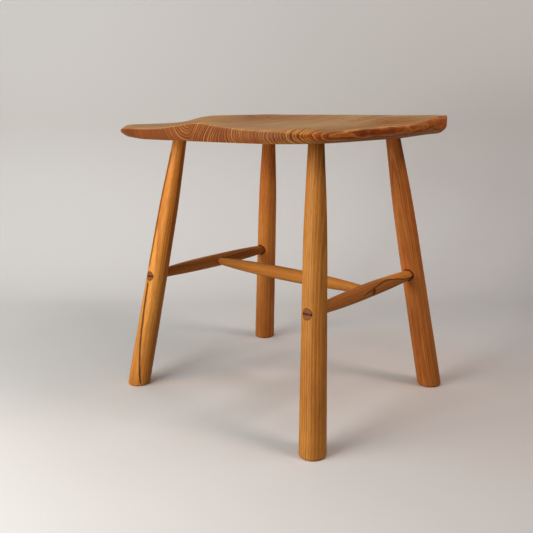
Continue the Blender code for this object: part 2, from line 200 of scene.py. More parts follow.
def cut(obj, cutter_mesh, sharp):
    """Exact boolean, applied at once."""
    bmesh.ops.recalc_face_normals(cutter_mesh, faces=cutter_mesh.faces[:])
    bmesh.ops.translate(cutter_mesh, verts=cutter_mesh.verts[:], vec=Vector(OFFSET))
    cutter = mesh_object("tmp_cut", cutter_mesh)
    cutter_data = cutter.data
    modifier = obj.modifiers.new("cut", 'BOOLEAN')
    modifier.operation = 'DIFFERENCE'
    modifier.solver = 'EXACT'
    modifier.object = cutter
    bpy.context.view_layer.update()
    graph = bpy.context.evaluated_depsgraph_get()
    result = bpy.data.meshes.new_from_object(obj.evaluated_get(graph))
    old = obj.data
    obj.modifiers.clear()
    obj.data = result
    bpy.data.meshes.remove(old)
    bpy.data.objects.remove(cutter, do_unlink=True)
    bpy.data.meshes.remove(cutter_data)
    finish_shading(obj, sharp)


def skin(mesh, rings):
    """Quads between closed rings of vertices."""
    for lower, upper in zip(rings, rings[1:]):
        for i in range(len(lower)):
            k = (i + 1) % len(lower)
            mesh.faces.new((lower[i], lower[k], upper[k], upper[i]))


def fan(mesh, ring, pole_place):
    """Triangles from a ring to a pole in its middle."""
    pole = mesh.verts.new(pole_place)
    for i in range(len(ring)):
        mesh.faces.new((ring[i], ring[(i + 1) % len(ring)], pole))


def rod(point_rings):
    """Closed rod between two rings of points."""
    mesh = bmesh.new()
    rings = [[mesh.verts.new(point) for point in ring] for ring in point_rings]
    skin(mesh, rings)
    mesh.faces.new(rings[0][::-1])
    mesh.faces.new(rings[1])
    return mesh


def cross_axes(along):
    """Two directions square to an axis: the first level, the second square to both."""
    along = Vector(along).normalized()
    level = Vector((0, 0, 1)).cross(along).normalized()
    return level, along.cross(level).normalized()


def square_rod(start, end, radius, seg=64):
    """Round rod with ends square to its axis."""
    level, rise = cross_axes(end - start)
    angles = [2 * math.pi * i / seg for i in range(seg)]
    return rod([[centre + (level * math.cos(t) + rise * math.sin(t)) * radius for t in angles]
                for centre in (start, end)])


# ------------------------------------------------------------------ seat shape
# heights along y: outer edge of the top, raised band by the sides, dished middle
ARRIS = smooth_table((
    (-0.230, 0.4335), (-0.170, 0.4336), (-0.142, 0.4344), (-0.097, 0.4352), (-0.041, 0.4364),
    (0.018, 0.4371), (0.042, 0.4378), (0.066, 0.4402), (0.093, 0.4440), (0.108, 0.4461),
    (0.130, 0.4487), (0.160, 0.4497)), sigma=0.006)
CREST = smooth_table((
    (-0.230, 0.4397), (-0.190, 0.4396), (-0.150, 0.4394), (-0.115, 0.4397), (-0.092, 0.4400),
    (-0.070, 0.44055), (-0.047, 0.4431), (-0.023, 0.4474), (0.000, 0.4496), (0.023, 0.4497),
    (0.160, 0.4497)), sigma=0.008)
FLOOR = smooth_table((
    (-0.230, 0.4345), (-0.112, 0.4352), (-0.050, 0.4362), (0.000, 0.4374), (0.060, 0.4396),
    (0.100, 0.4420), (0.125, 0.4460), (0.149, 0.4494), (0.160, 0.4497)), sigma=0.008)
# rise of the front edge along x: a pommel a little right of the middle
POMMEL = smooth_table((
    (-0.230, 0.0), (-0.101, 0.0), (-0.075, 0.0006), (-0.055, 0.0020), (-0.039, 0.0038),
    (-0.024, 0.0058), (-0.008, 0.0077), (0.006, 0.0092), (0.020, 0.0099), (0.032, 0.0093),
    (0.042, 0.0079), (0.055, 0.0062), (0.072, 0.0047), (0.095, 0.0026), (0.115, 0.0014),
    (0.140, 0.0008), (0.170, -0.0004), (0.230, -0.0010)), sigma=0.006)


def side_x(y):
    """Half width of the seat at y."""
    k = np.clip((CORNER_Y - y) / (FRONT + CORNER_Y), 0.0, 1.0)
    front = HALF_W * np.maximum(0.0, 1 - k ** CORNER_N) ** (1 / CORNER_N)
    t = np.clip((y - CORNER_Y) / (REAR - CORNER_Y), 0.0, 1.0)
    rear = HALF_W - (HALF_W - REAR_HALF_W) * t ** REAR_TAPER
    return np.where(y < CORNER_Y, front, rear)


def seat_top(x, y):
    """Height of the carved top."""
    x, y = np.asarray(x, float), np.asarray(y, float)
    inset = side_x(y) - np.sqrt(x * x + 1e-8)
    floor = FLOOR(y)
    wall = ease((0.080 - inset) / 0.054) * ease((y + FRONT + 0.004) / 0.050)
    z = floor + (CREST(y) - floor) * wall
    bevel_width = 0.027 - 0.012 * ease((-0.130 - y) / 0.05)
    z = z + (ARRIS(y) - z) * ease(1.0 - inset / bevel_width)
    z = z + POMMEL(x) * (1.0 - ease((y + FRONT - 0.020) / 0.140))
    # the left side lies a little lower towards the front
    z = z - 0.0013 * ease((-0.150 - x) / 0.045) * ease((0.010 - y) / 0.080)
    return np.minimum(z, SEAT_TOP)


def under_z(x, y):
    """Height of the underside: flat, but shaved up towards the corners."""
    side = ease((y - 0.020) / 0.120) * np.clip((np.abs(x) - 0.150) / 0.050, 0, 1.2) ** 2
    # the left front corner is shaved up a little more than the right one
    nose = ease((-0.098 - x) / 0.050) * ease((-0.110 - y) / 0.060)
    tail = (np.clip((np.abs(x) - 0.160) / 0.040, 0, 1) ** 2
            * np.clip((y - 0.095) / 0.054, 0, 1.05) ** 2.5)
    return SEAT_UNDER + 0.0042 * side + 0.0024 * nose + 0.0004 * tail


def outline():
    """Dense right-half outline: front middle, corner, side, rear corner, rear middle."""
    power = CORNER_N
    depth = FRONT + CORNER_Y
    split = 0.84                # the corner is stepped along x up to here, then along y
    k = np.linspace(0, split, 120)
    front = np.stack([HALF_W * k, CORNER_Y - depth * (1 - k ** power) ** (1 / power)], 1)
    k = np.linspace((1 - split ** power) ** (1 / power), 0, 120)[1:]
    corner = np.stack([HALF_W * (1 - k ** power) ** (1 / power), CORNER_Y - depth * k], 1)
    t = np.linspace(0, 1, 90)[1:]
    side = np.stack([HALF_W - (HALF_W - REAR_HALF_W) * t ** REAR_TAPER,
                     CORNER_Y + (REAR - CORNER_Y) * t], 1)
    x = REAR_HALF_W * np.linspace(1, 0, 90)[1:]
    rear = np.stack([x, REAR + REAR_BOW * (1 - (x / REAR_HALF_W) ** 2)], 1)
    return np.vstack([front, corner, side, rear])


def arc_length(points):
    return np.r_[0, np.cumsum(np.linalg.norm(np.diff(points, axis=0), axis=1))]


def point_at(points, distance):
    lengths = arc_length(points)
    return np.stack([np.interp(distance, lengths, points[:, 0]),
                     np.interp(distance, lengths, points[:, 1])], -1)


def resample(points, count):
    return point_at(points, np.linspace(0, arc_length(points)[-1], count))


def unit_tangents(points):
    tangents = np.gradient(points, axis=0)
    tangents /= np.linalg.norm(tangents, axis=1)[:, None]
    return tangents


def board_run():
    """Evenly spaced front, side and rear runs of the outline, and their inward normals."""
    points = outline()
    lengths = arc_length(points)
    corner = int(np.argmax((points[:, 0] > REAR_HALF_W - 1e-9) * points[:, 1]))
    # soften the rear corner by a small radius
    start, end = lengths[corner] - REAR_CORNER_R, lengths[corner] + REAR_CORNER_R
    before, after = points[lengths < start], points[lengths > end]
    t = np.linspace(0, 1, 9)[:, None]
    arc = ((1 - t) ** 2 * point_at(points, start) + 2 * t * (1 - t) * points[corner]
           + t ** 2 * point_at(points, end))
    points = np.vstack([before, arc, after])
    tangents = unit_tangents(points)
    front_corner = int(np.argmax(tangents[:, 0] < tangents[:, 1]))      # its 45 degree point
    rear_corner = len(before) + 4
    run = np.vstack([resample(points[:front_corner + 1], ACROSS),
                     resample(points[front_corner:rear_corner + 1], ALONG)[1:],
                     resample(points[rear_corner:], ACROSS)[1:]])
    tangents = unit_tangents(run)
    inward = np.stack([-tangents[:, 1], tangents[:, 0]], 1)
    inward[0], inward[-1] = (0, 1), (0, -1)
    return run, inward


def coons_grid(rim):
    """Grid (ACROSS x ALONG) filled from a boundary polyline and the straight joint line."""
    front, side = rim[:ACROSS], rim[ACROSS - 1:ACROSS + ALONG - 1]
    rear = rim[ACROSS + ALONG - 2:][::-1]
    u = np.linspace(0, 1, ACROSS)[:, None, None]
    v = np.linspace(0, 1, ALONG)[None, :, None]
    joint = np.stack([np.full(ALONG, JOINT_X), np.linspace(front[0, 1], rear[0, 1], ALONG)], 1)
    grid = ((1 - v) * front[:, None] + v * rear[:, None] + (1 - u) * joint[None] + u * side[None]
            - ((1 - u) * (1 - v) * front[0] + u * (1 - v) * front[-1]
               + (1 - u) * v * rear[0] + u * v * rear[-1]))
    # even the mesh out, so that it lies flat round the rounded corner
    for _ in range(1500):
        grid[1:-1, 1:-1] = 0.25 * (grid[:-2, 1:-1] + grid[2:, 1:-1]
                                   + grid[1:-1, :-2] + grid[1:-1, 2:])
    return grid


def board_face(mesh, put, rim_points, height, rim_z):
    """Top or underside of a board; returns its rim and its joint line."""
    grid = coons_grid(rim_points)
    heights = height(grid[..., 0], grid[..., 1])
    verts = [[put(grid[i, j, 0], grid[i, j, 1], heights[i, j]) for j in range(ALONG)]
             for i in range(ACROSS)]
    rim = ([verts[i][0] for i in range(ACROSS)] + [verts[-1][j] for j in range(1, ALONG)]
           + [verts[i][-1] for i in range(ACROSS - 2, -1, -1)])
    for k, vert in enumerate(rim):
        vert.co.z = rim_z[k]
    for i in range(ACROSS - 1):
        for j in range(ALONG - 1):
            mesh.faces.new((verts[i][j], verts[i + 1][j], verts[i + 1][j + 1], verts[i][j + 1]))
    return rim, verts[0]


# levels of a board's edge, as fractions of the way down from the top
EDGE_LEVELS = (0.0, 0.025, 0.06, 0.11, 0.18, 0.26, 0.34, 0.43, 0.52, 0.61, 0.70, 0.78, 0.85,
               0.91, 0.955, 0.985, 1.0)


def edge_insets(run, inward):
    """For each level, how far the edge lies inside the run."""
    sideness = ease((-inward[:, 0] - 0.10) / 0.50)
    rearness = ease((-inward[:, 1] - 0.3) / 0.5)
    corner = ease(1 - np.abs(-inward[:, 0] - 0.72) / 0.27) * (inward[:, 1] > 0)
    rear_end = ease((run[:, 1] - 0.112) / 0.034)
    insets = []
    for level in EDGE_LEVELS:
        front = (0.0012 * max(0.0, 1 - level / 0.09) ** 2 - 0.0002
                 + 0.0032 * max(0.0, (level - 0.35) / 0.65) ** 3)
        low = max(0.0, (level - 0.27) / 0.73)
        side = (0.0018 * max(0.0, 1 - level / 0.18) ** 2
                + (0.0104 + 0.0012 * corner) * low ** (2.1 - 0.3 * corner))
        side = side + rear_end * (0.0110 * low ** 4.2 - 0.0104 * low ** 2.1)
        insets.append(front + (side - front) * (sideness * (1 - rearness)))
    return insets


def seat_half(side_name, side):
    """One board of the seat; side is -1 for the left one, 1 for the right one."""
    run, inward = board_run()
    mesh = bmesh.new()

    def put(x, y, z):
        return mesh.verts.new((side * x, y, z))

    def top_at(x, y):
        return seat_top(side * x, y)

    def low_at(x, y):
        return under_z(side * x, y)

    top_z, low_z = top_at(run[:, 0], run[:, 1]), low_at(run[:, 0], run[:, 1])
    rear_start = ACROSS + ALONG - 2
    levels = []
    for level, inset in zip(EDGE_LEVELS, edge_insets(run, inward)):
        ring = run + inward * inset[:, None]
        ring[:, 0] = np.maximum(ring[:, 0], JOINT_X)
        ring[0, 0] = ring[-1, 0] = JOINT_X
        # the rear corner keeps to the cut-back side
        ring[rear_start:, 0] *= min(1.0, (ring[rear_start - 1, 0] + 0.0003) / ring[rear_start, 0])
        upper = top_z
        if level == 0:
            upper = np.minimum(top_z + 0.00025, top_at(ring[:, 0], ring[:, 1]))
        levels.append((ring, upper * (1 - level) + low_z * level))
    top_rim, top_joint = board_face(mesh, put, levels[0][0], top_at, levels[0][1])
    low_rim, low_joint = board_face(mesh, put, levels[-1][0], low_at, levels[-1][1])
    edge = [[put(*ring[i], z[i]) for i in range(len(run))] for ring, z in levels[1:-1]]
    rows = [top_rim] + edge + [low_rim]
    for upper, lower in zip(rows, rows[1:]):
        for i in range(len(run) - 1):
            mesh.faces.new((upper[i], upper[i + 1], lower[i + 1], lower[i]))
    glue_face = mesh.faces.new(top_joint + [row[-1] for row in edge] + low_joint[::-1]
                               + [row[0] for row in edge][::-1])
    bmesh.ops.triangulate(mesh, faces=[glue_face])
    return make_object("seat_%s_wood" % side_name, mesh, SHARP_SEAT)


# ------------------------------------------------------------------ legs
leg_radius = smooth_table(LEG_R, sigma=0.009)


def leg_centre(leg, z):
    return np.array([FOOT[leg][0] + SPLAY[leg][0] * z, FOOT[leg][1] + SPLAY[leg][1] * z, z])


def leg_axis(leg):
    return Vector((SPLAY[leg][0], SPLAY[leg][1], 1)).normalized()


def leg_shape(leg, z, angle):
    """Radius of the shaved leg at height z and an angle: soft flats left by the shave."""
    index = LEG_NAMES.index(leg)
    flat = flats(angle + 0.31 * index + 0.35 * z, 8, 0.985)
    soft = 0.42 * ease((z - 0.002) / 0.05) * (1 - 0.5 * ease((z - 0.33) / 0.08))
    radius = leg_radius(z) * THICK[leg] * (1 + soft * flat * 0.62)
    radius = radius + 0.00012 * np.sin(5 * angle + 40 * z + index) * np.sin(23 * z + 2 * index)
    # the foot's rim is rounded over
    return radius - 0.00009 - 0.0017 * (1 - ease(z / 0.0026)) ** 1.5


def leg_reach(leg):
    """Function giving the distance from a point, along a direction, to the leg's surface."""
    def reach(base, out):
        def inside(distance):
            point = base + out * distance
            centre = leg_centre(leg, point.z)
            dx, dy = point.x - centre[0], point.y - centre[1]
            return math.hypot(dx, dy) < float(leg_shape(leg, point.z, math.atan2(dy, dx)))
        return bisect(inside, 0.05, 26)
    return reach


def make_leg(leg, seg=80):
    mesh = bmesh.new()
    angles = np.arange(seg) * 2 * math.pi / seg
    shoulder = SEAT_UNDER - GAP
    heights = np.unique(np.round(np.r_[[0, 0.0004, 0.0009, 0.0015, 0.0022, 0.003],
                                       np.linspace(0.005, SEAT_UNDER - 0.0012, 118),
                                       shoulder], 6))
    rings = []
    for z in heights:
        centre = leg_centre(leg, z)
        radius = leg_shape(leg, z, angles)
        if z > SEAT_UNDER - 0.0006:
            radius = radius - 0.0004
        rings.append([mesh.verts.new((centre[0] + radius[i] * math.cos(angles[i]),
                                      centre[1] + radius[i] * math.sin(angles[i]), z))
                      for i in range(seg)])
    base = leg_centre(leg, shoulder)
    lean_x, lean_y = SPLAY[leg]

    def tenon_vert(angle, radius, up):
        """Slid along the slanted axis, up being the fraction of the way to the carved top."""
        x, y = base[0] + radius * math.cos(angle), base[1] + radius * math.sin(angle)
        z = shoulder
        for _ in range(6):
            rise = z - shoulder
            z = float(seat_top(x + lean_x * rise, y + lean_y * rise)) + 0.0001
        rise = (z - shoulder) * up
        return mesh.verts.new((x + lean_x * rise, y + lean_y * rise, shoulder + rise))

    # fraction of the tenon's radius, fraction of its height
    for wide, up in ((1, 0.0), (1, 0.33), (1, 0.66), (1, 1.0), (0.75, 1.0), (0.5, 1.0), (0.25, 1.0)):
        rings.append([tenon_vert(angle, wide * TENON_R, up) for angle in angles])
    skin(mesh, rings)
    z = float(np.mean([vert.co.z for vert in rings[-1]]))
    fan(mesh, rings[-1], leg_centre(leg, z))
    foot = leg_centre(leg, 0.0)
    foot_rings = [rings[0]]
    for wide in (0.66, 0.33):
        foot_rings.append([mesh.verts.new((foot[0] + (vert.co.x - foot[0]) * wide,
                                           foot[1] + (vert.co.y - foot[1]) * wide, 0.0))
                           for vert in rings[0]])
    skin(mesh, foot_rings)
    fan(mesh, foot_rings[-1], foot)
    return make_object("leg_%s_wood" % leg, mesh, SHARP_LEG)


def tenon_hole(leg, seg=64):
    """Cutter for the leg's hole through the seat, with level ends."""
    radius = TENON_R + 0.00012
    rings = []
    for z in (SEAT_UNDER - 0.01, SEAT_TOP + 0.01):
        x, y, _ = leg_centre(leg, z)
        rings.append([(x + radius * math.cos(2 * math.pi * i / seg),
                       y + radius * math.sin(2 * math.pi * i / seg), z) for i in range(seg)])
    return rod(rings)


# ------------------------------------------------------------------ wedges
wedges = {}


def slot_cutter(tip, out, wide, thick, half_width, outer, inner, depth, over):
    """Tapered block, from past the surface down into the joint."""
    mesh = bmesh.new()
    out = out.normalized()
    verts = []
    for distance, thickness in ((over, outer), (-depth, inner)):
        for across, through in ((-1, -1), (1, -1), (1, 1), (-1, 1)):
            verts.append(mesh.verts.new(tip + out * distance + wide * (across * half_width)
                                        + thick * (through * thickness / 2)))
    for face in ((0, 1, 2, 3), (7, 6, 5, 4), (0, 4, 5, 1), (1, 5, 6, 2), (2, 6, 7, 3), (3, 7, 4, 0)):
        mesh.faces.new([verts[i] for i in face])
    return mesh


def wedge_piece(name, tip, out, wide, thick, half_width, outer, inner, depth, lift):
    """Thin wedge whose outer face follows the surface: lift(point) -> distance along out."""
    mesh = bmesh.new()
    cols, layers, rows = 22, 3, 6           # steps across, through and into the joint
    verts = {}
    for i in range(cols + 1):
        for j in range(layers + 1):
            for k in range(rows + 1):
                if 0 < i < cols and 0 < j < layers and 0 < k < rows:
                    continue
                down = k / rows
                thickness = outer + (inner - outer) * down
                base = (tip + wide * (half_width * (2 * i / cols - 1))
                        + thick * (thickness / 2 * (2 * j / layers - 1)))
                verts[i, j, k] = mesh.verts.new(
                    base + out * (lift(base) * (1 - down) - depth * down))

    def quad(*keys):
        mesh.faces.new([verts[key] for key in keys])
    for i in range(cols):
        for j in range(layers):
            quad((i, j, 0), (i + 1, j, 0), (i + 1, j + 1, 0), (i, j + 1, 0))
            quad((i, j, rows), (i, j + 1, rows), (i + 1, j + 1, rows), (i + 1, j, rows))
    for i in range(cols):
        for k in range(rows):
            quad((i, 0, k), (i, 0, k + 1), (i + 1, 0, k + 1), (i + 1, 0, k))
            quad((i, layers, k), (i + 1, layers, k), (i + 1, layers, k + 1), (i, layers, k + 1))
    for j in range(layers):
        for k in range(rows):
            quad((0, j, k), (0, j + 1, k), (0, j + 1, k + 1), (0, j, k + 1))
            quad((cols, j, k), (cols, j, k + 1), (cols, j + 1, k + 1), (cols, j + 1, k))
    return make_object(name, mesh, SHARP_WEDGE)


def add_wedge(node, host, sharp, tip, out, wide, thick, sizes, lift):
    """Saw the slot in the host's end and drive the wedge into it."""
    cut(host, slot_cutter(tip, out, wide, thick, *sizes.slot), sharp)
    wedges[node] = wedge_piece(node + "_wood", tip, out, wide, thick, *sizes.wedge, lift)


def wedge_leg(leg):
    z = 0.43
    for _ in range(2):                      # step up the slanted axis to the carved top
        z = float(seat_top(*leg_centre(leg, z)[:2]))
    out = leg_axis(leg)
    wide = Vector((1, 0, 0))
    wide = (wide - out * wide.dot(out)).normalized()

    def lift(base):
        distance = 0.0
        for _ in range(6):
            point = base + out * distance
            distance += (float(seat_top(point.x, point.y)) + SEAT_WEDGE.proud - point.z) / out.z
        return distance
    add_wedge("wedge_seat_" + leg, legs[leg], SHARP_LEG, Vector(leg_centre(leg, z)), out,
              wide, out.cross(wide), SEAT_WEDGE, lift)


def wedge_rail(node, rail, centre, out, wide, thick, reach, sizes):
    depth = reach(centre, out)

    def lift(base):
        return reach(base - out * depth, out) - depth + sizes.proud
    add_wedge(node, rail, SHARP_RAIL, centre + out * depth, out, wide, thick, sizes, lift)


# ------------------------------------------------------------------ stretchers
Rail = namedtuple("Rail", "obj start end along radius")


def spindle(name, start, end, radius, reach_start, reach_end, proud, seg=56, rows=120):
    """Round tapered rail between joint centres.

    The reach functions give how far each end runs on to the outside of its joint.
    """
    along = end - start
    length = along.length
    along.normalize()
    level, rise = cross_axes(along)
    mesh = bmesh.new()
    rays = [(t, level * math.cos(t) + rise * math.sin(t))
            for t in (2 * math.pi * i / seg for i in range(seg))]

    def end_ring(wide, size, centre, out, reach):
        ring = []
        for _, ray in rays:
            base = centre + ray * (size * wide)
            ring.append(mesh.verts.new(base + out * (reach(base, out) + proud)))
        return ring
    widths = (0.25, 0.5, 0.75, 0.93, 1.0)
    first = [end_ring(wide, radius(0.0, 0.0), start, -along, reach_start) for wide in widths]
    last = [end_ring(wide, radius(length, 0.0), end, along, reach_end)
            for wide in widths[::-1]]
    middle = []
    for k in range(rows + 1):
        distance = length * (k / rows)
        middle.append([mesh.verts.new(start + along * distance + ray * radius(distance, t))
                       for t, ray in rays])
    rings = first + middle + last
    skin(mesh, rings)
    for ring, centre, out, reach in ((rings[0], start, -along, reach_start),
                                     (rings[-1], end, along, reach_end)):
        fan(mesh, ring, centre + out * (reach(centre, out) + proud))
    return make_object(name, mesh, SHARP_RAIL), along, level, rise


def rail_radius(length, phase):
    """Radius of a side stretcher at a distance along it and an angle round it."""
    def radius(distance, angle):
        # the shoulder starts 1 mm before its nominal place and rises over 4 mm
        if distance < RAIL_SHOULDER - 0.001 or distance > length - RAIL_SHOULDER + 0.001:
            return RAIL_TENON_R
        k = min(1.0, max(0.0, (distance - RAIL_SHOULDER) / (length - 2 * RAIL_SHOULDER)))
        off_middle = abs(2 * k - 1)
        size = RAIL_END_R + (RAIL_MID_R - RAIL_END_R) * (1 - off_middle ** 2.3)
        size *= 1 + (0.42 * flats(angle + phase + 0.9 * k, 7, 0.975)
                     * ease((1 - off_middle) / 0.25))
        edge = min(1.0, (distance - RAIL_SHOULDER + 0.001) / 0.004,
                   (length - RAIL_SHOULDER + 0.001 - distance) / 0.004)
        return RAIL_TENON_R + (size - RAIL_TENON_R) * max(0.0, edge)
    return radius


def cross_radius(length):
    """The same for the centre stretcher."""
    def radius(distance, angle):
        if distance < CROSS_SHOULDER or distance > length - CROSS_SHOULDER:
            return CROSS_TENON_R
        k = (distance - CROSS_SHOULDER) / (length - 2 * CROSS_SHOULDER)
        off_middle = abs(2 * k - 1)
        size = CROSS_END_R + (CROSS_MID_R - CROSS_END_R) * (1 - off_middle ** 2.5)
        return size * (1 + 0.26 * flats(angle + 0.2, 8, 0.985) * ease((1 - off_middle) / 0.2))
    return radius


def rail_reach(rail):
    """Function giving the distance from a point to the side stretcher's surface."""
    level, rise = cross_axes(rail.along)

    def reach(base, out):
        def inside(distance):
            arm = (base + out * distance) - rail.start
            travelled = rail.along.dot(arm)
            arm = arm - rail.along * arm.dot(rail.along)
            angle = math.atan2(arm.dot(rise), arm.dot(level))
            return arm.length < rail.radius(travelled, angle)
        return bisect(inside, 0.02, 24)
    return reach


def make_side_rail(side):
    """Side stretcher, with its holes in the legs and its two wedges."""
    front_leg, rear_leg = "front_" + side, "rear_" + side
    start = Vector(leg_centre(front_leg, RAIL_Z[front_leg]))
    end = Vector(leg_centre(rear_leg, RAIL_Z[rear_leg]))
    radius = rail_radius((end - start).length, RAIL_PHASE[side])
    obj, along, level, rise = spindle("side_stretcher_%s_wood" % side, start, end, radius,
                                      leg_reach(front_leg), leg_reach(rear_leg), RAIL_PROUD)
    for leg, centre in ((front_leg, start), (rear_leg, end)):
        cut(legs[leg], square_rod(centre - along * 0.045, centre + along * 0.045,
                                  RAIL_TENON_R + 0.00050), SHARP_LEG)
    # the rear sockets are bored a little wide at the mouth
    mouth = leg_reach(rear_leg)(end, -along)
    cut(legs[rear_leg], square_rod(end - along * (mouth + 0.012), end - along * (mouth - 0.0065),
                                   RAIL_TENON_R + 0.0024), SHARP_LEG)
    for tag, leg, centre, out in (("front", front_leg, start, -along),
                                  ("rear", rear_leg, end, along)):
        wedge_rail("wedge_stretcher_%s_%s" % (tag, side), obj, centre, out, level, rise,
                   leg_reach(leg), RAIL_WEDGE)
    return Rail(obj, start, end, along, radius)


def make_centre_rail(start, end):
    """Centre stretcher, with its holes in the side stretchers and its two wedges."""
    reaches = {side: rail_reach(rails[side]) for side in rails}
    obj, along, level, rise = spindle(
        "centre_stretcher_wood", start, end, cross_radius((end - start).length),
        reaches["left"], reaches["right"], CROSS_PROUD, rows=150)
    for side, centre, out in (("left", start, -along), ("right", end, along)):
        cut(rails[side].obj, square_rod(centre - along * 0.03, centre + along * 0.03,
                                        CROSS_TENON_R + 0.0002, seg=48), SHARP_RAIL)
        wedge_rail("wedge_centre_" + side, obj, centre, out, rise, level, reaches[side],
                   CROSS_WEDGE)
    return obj


# ------------------------------------------------------------------ build
seats = {"left": seat_half("left", -1), "right": seat_half("right", 1)}
legs = {}
for leg in LEG_NAMES:
    legs[leg] = make_leg(leg)
    cut(seats[leg.split("_")[1]], tenon_hole(leg), SHARP_SEAT)
    wedge_leg(leg)
rails = {}
for side in ("left", "right"):
    rails[side] = make_side_rail(side)
cross_start, cross_end = [rails[side].start.lerp(rails[side].end, CROSS_AT) for side in rails]
cross = make_centre_rail(cross_start, cross_end)


# ------------------------------------------------------------------ wood material
class Net:
    """A material's node tree, with a short call for each kind of node."""

    def __init__(self, name):
        self.material = bpy.data.materials.new(name)
        self.material.use_nodes = True
        self.tree = self.material.node_tree
        self.tree.nodes.clear()

    def node(self, kind, **settings):
        node = self.tree.nodes.new(kind)
        for key, value in settings.items():
            setattr(node, key, value)
        return node

    def put(self, socket, value):
        if isinstance(value, bpy.types.NodeSocket):
            self.tree.links.new(value, socket)
        else:
            socket.default_value = value

    def math(self, operation, first, second=None, clamp=False):
        node = self.node('ShaderNodeMath', operation=operation, use_clamp=clamp)
        self.put(node.inputs[0], first)
        if second is not None:
            self.put(node.inputs[1], second)
        return node.outputs[0]

    def mul(self, first, second):
        return self.math('MULTIPLY', first, second)

    def vec(self, operation, first, second=None, scale=None):
        node = self.node('ShaderNodeVectorMath', operation=operation)
        self.put(node.inputs[0], first)
        if second is not None:
            self.put(node.inputs[1], second)
        if scale is not None:
            self.put(node.inputs['Scale'], scale)
        return node.outputs['Value' if operation in ('DOT_PRODUCT', 'LENGTH') else 'Vector']

    def dot(self, vector, axis):
        return self.vec('DOT_PRODUCT', vector, tuple(axis))

    def split(self, vector):
        node = self.node('ShaderNodeSeparateXYZ')
        self.put(node.inputs[0], vector)
        return node.outputs

    def noise(self, place, stretch=None, scale=1.0, detail=2.0, rough=0.5, output='Fac'):
        if stretch:
            place = self.vec('MULTIPLY', place, stretch)
        node = self.node('ShaderNodeTexNoise')
        self.put(node.inputs['Vector'], place)
        node.inputs['Scale'].default_value = scale
        node.inputs['Detail'].default_value = detail
        node.inputs['Roughness'].default_value = rough
        return node.outputs[output]

    def ramp(self, factor, stops):
        node = self.node('ShaderNodeValToRGB')
        elements = node.color_ramp.elements
        while len(elements) > 1:
            elements.remove(elements[-1])
        for i, (position, colour) in enumerate(stops):
            element = elements[0] if i == 0 else elements.new(position)
            element.position = position
            element.color = (*colour, 1)
        self.put(node.inputs[0], factor)
        return node.outputs[0]

    def mix(self, factor, first, second, blend='MIX'):
        node = self.node('ShaderNodeMix', data_type='RGBA', blend_type=blend)
        self.put(node.inputs[0], factor)
        for i, colour in ((6, first), (7, second)):
            is_socket = isinstance(colour, bpy.types.NodeSocket)
            self.put(node.inputs[i], colour if is_socket else (*colour, 1))
        return node.outputs[2]

    def tint(self, factor, colour, by):
        """Colour multiplied by another one, as far as factor says."""
        return self.mix(factor, colour, self.mix(1.0, colour, by, 'MULTIPLY'))

    def remap(self, value, span, to=(0.0, 1.0), kind='LINEAR'):
        node = self.node('ShaderNodeMapRange', interpolation_type=kind)
        self.put(node.inputs[0], value)
        for i, limit in enumerate((*span, *to)):
            node.inputs[i + 1].default_value = limit
        return node.outputs[0]

    def smooth(self, value, span, to=(0.0, 1.0)):
        return self.remap(value, span, to, 'SMOOTHSTEP')


# Wood settings that have a usual value.  Lengths are in millimetres; places are given
# across the grain (x and y) and along it (z).  A "fade" is a dict of span and to for smooth().
WOOD_DEFAULTS = dict(
    pith=None,                      # x, y of the rings' centre
    field=None,                     # function giving the ring distance, in place of a pith
    knot=None,                      # centre, radius and push of the grain flowing round it
    line_w=0.10,                    # part of each ring taken up by its line
    line_fade=None,                 # fade of the rings' strength along x
    tint=0.35,                      # strength of the broad colour drift
    fibre_k=1.0,                    # strength of the fibres
    spec=0.3,
    end_col=(0.46, 0.28, 0.22),     # tint of the end grain
    side_col=None,                  # tint of the faces across the grain
    side_rise=0.0,                  # painted light on those faces towards the rear, where little light reaches
    rear_col=None,                  # painted cool sheen on their rear end
    worn=None, worn_fade=None,      # painted sheen of upward faces (grazing reflection of the pale room), and its fade along z
    spots=(),                       # small dark eyes: x, z, two half sizes, strength
    tone=None,                      # painted light: slow change of brightness along z
    streaks=(),                     # thin dark layers, see streak()
)


def grain_space(net, look):
    """Give the net its grain axes and its place in millimetres, plain and seeded."""
    net.along = Vector(look.along).normalized()
    across = Vector(look.across)
    net.across = (across - net.along * across.dot(net.along)).normalized()
    place = net.vec('SUBTRACT', net.node('ShaderNodeTexCoord').outputs['Object'],
                    tuple(Vector(look.origin) + Vector(OFFSET)))
    combine = net.node('ShaderNodeCombineXYZ')
    for i, axis in enumerate((net.across, net.along.cross(net.across), net.along)):
        net.put(combine.inputs[i], net.mul(net.dot(place, axis), 1000.0))
    net.place = combine.outputs[0]
    net.seeded = net.vec('ADD', net.place,
                         (look.seed * 37.1, look.seed * 17.3, look.seed * 91.7))


